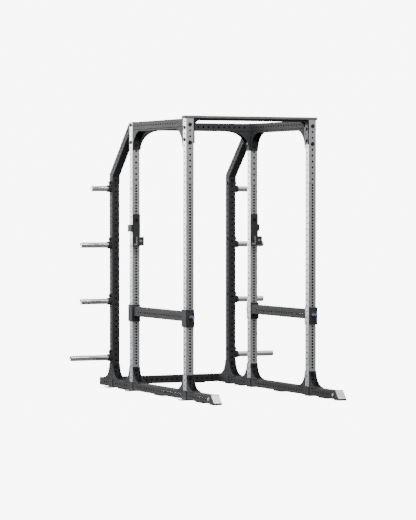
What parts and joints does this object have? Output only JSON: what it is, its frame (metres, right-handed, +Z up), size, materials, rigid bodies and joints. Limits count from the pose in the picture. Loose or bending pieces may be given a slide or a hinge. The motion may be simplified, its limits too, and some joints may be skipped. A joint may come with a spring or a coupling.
{
  "type": "power cage",
  "caption": "Bolted power cage of drilled square uprights on base rails, with arched crossmembers, rear braces, pinned safety arms, J-cups and plate horns.",
  "frame": {"origin": "on the floor, at the bottom centre of the bounding box", "axes": "+X across the cage, +Y from its open front to its rear, +Z up"},
  "size_m": [1.98, 2.446, 2.368],
  "materials": {
    "silver_paint": "satin",
    "black_paint": "satin",
    "chrome": "polished",
    "zinc": "satin",
    "liner_plastic": "matt",
    "blue_ring": "satin",
    "rubber": "matt"
  },
  "bodies": {
    "frame": {"left_front_upright": "silver_paint", "left_middle_upright": "silver_paint", "left_rear_upright": "black_paint", "left_rear_brace": "black_paint", "left_top_crossmember": "black_paint", "left_base_rail": "black_paint", "left_front_foot_bracket": "black_paint", "left_middle_foot_bracket": "black_paint", "left_rear_foot_bracket": "black_paint", "left_front_foot_cap": "rubber", "left_safety_arm": "black_paint", "left_arm_liner": "liner_plastic", "left_top_horn": "chrome", "left_upper_horn": "chrome", "left_lower_horn": "chrome", "left_bottom_horn": "chrome", "left_horn_mounts": "black_paint", "right_front_upright": "silver_paint", "right_middle_upright": "silver_paint", "right_rear_upright": "black_paint", "right_rear_brace": "black_paint", "right_top_crossmember": "black_paint", "right_base_rail": "black_paint", "right_front_foot_bracket": "black_paint", "right_middle_foot_bracket": "black_paint", "right_rear_foot_bracket": "black_paint", "right_front_foot_cap": "rubber", "right_safety_arm": "black_paint", "right_arm_liner": "liner_plastic", "right_top_horn": "chrome", "right_upper_horn": "chrome", "right_lower_horn": "chrome", "right_bottom_horn": "chrome", "right_horn_mounts": "black_paint", "rear_top_crossmember": "black_paint", "front_top_bar": "black_paint", "front_bar_end_caps": "liner_plastic", "rear_bottom_crossmember": "black_paint", "front_foot_plates": "zinc", "anchor_plates": "zinc", "rubber_pads": "rubber", "tube_end_caps": "liner_plastic", "frame_bolts": "black_paint", "foot_bolts": "black_paint", "horn_bolts": "black_paint"},
    "left_front_pull_pin": {"left_front_pin": "zinc", "left_front_pin_ring": "blue_ring"},
    "left_middle_pull_pin": {"left_middle_pin": "zinc", "left_middle_pin_ring": "blue_ring"},
    "left_cup": {"left_jcup": "black_paint", "left_jcup_liner": "liner_plastic", "left_jcup_pin": "zinc"},
    "right_front_pull_pin": {"right_front_pin": "zinc", "right_front_pin_ring": "blue_ring"},
    "right_middle_pull_pin": {"right_middle_pin": "zinc", "right_middle_pin_ring": "blue_ring"},
    "right_cup": {"right_jcup": "black_paint", "right_jcup_liner": "liner_plastic", "right_jcup_pin": "zinc"}
  },
  "joints": [
    {"name": "left_front_pin_pull", "type": "slide", "parent": "frame", "child": "left_front_pull_pin", "axis": [0, -1, 0], "range_m": [0, 0.1]},
    {"name": "left_middle_pin_pull", "type": "slide", "parent": "frame", "child": "left_middle_pull_pin", "axis": [0, 1, 0], "range_m": [0, 0.1]},
    {"name": "left_cup_turn", "type": "hinge", "parent": "frame", "child": "left_cup", "pos_m": [-0.57, 0.4647, 1.493], "axis": [0, 1, 0], "range_deg": [0, 90]},
    {"name": "right_front_pin_pull", "type": "slide", "parent": "frame", "child": "right_front_pull_pin", "axis": [0, -1, 0], "range_m": [0, 0.1]},
    {"name": "right_middle_pin_pull", "type": "slide", "parent": "frame", "child": "right_middle_pull_pin", "axis": [0, 1, 0], "range_m": [0, 0.1]},
    {"name": "right_cup_turn", "type": "hinge", "parent": "frame", "child": "right_cup", "pos_m": [0.57, 0.4647, 1.493], "axis": [0, -1, 0], "range_deg": [0, 90]}
  ]
}
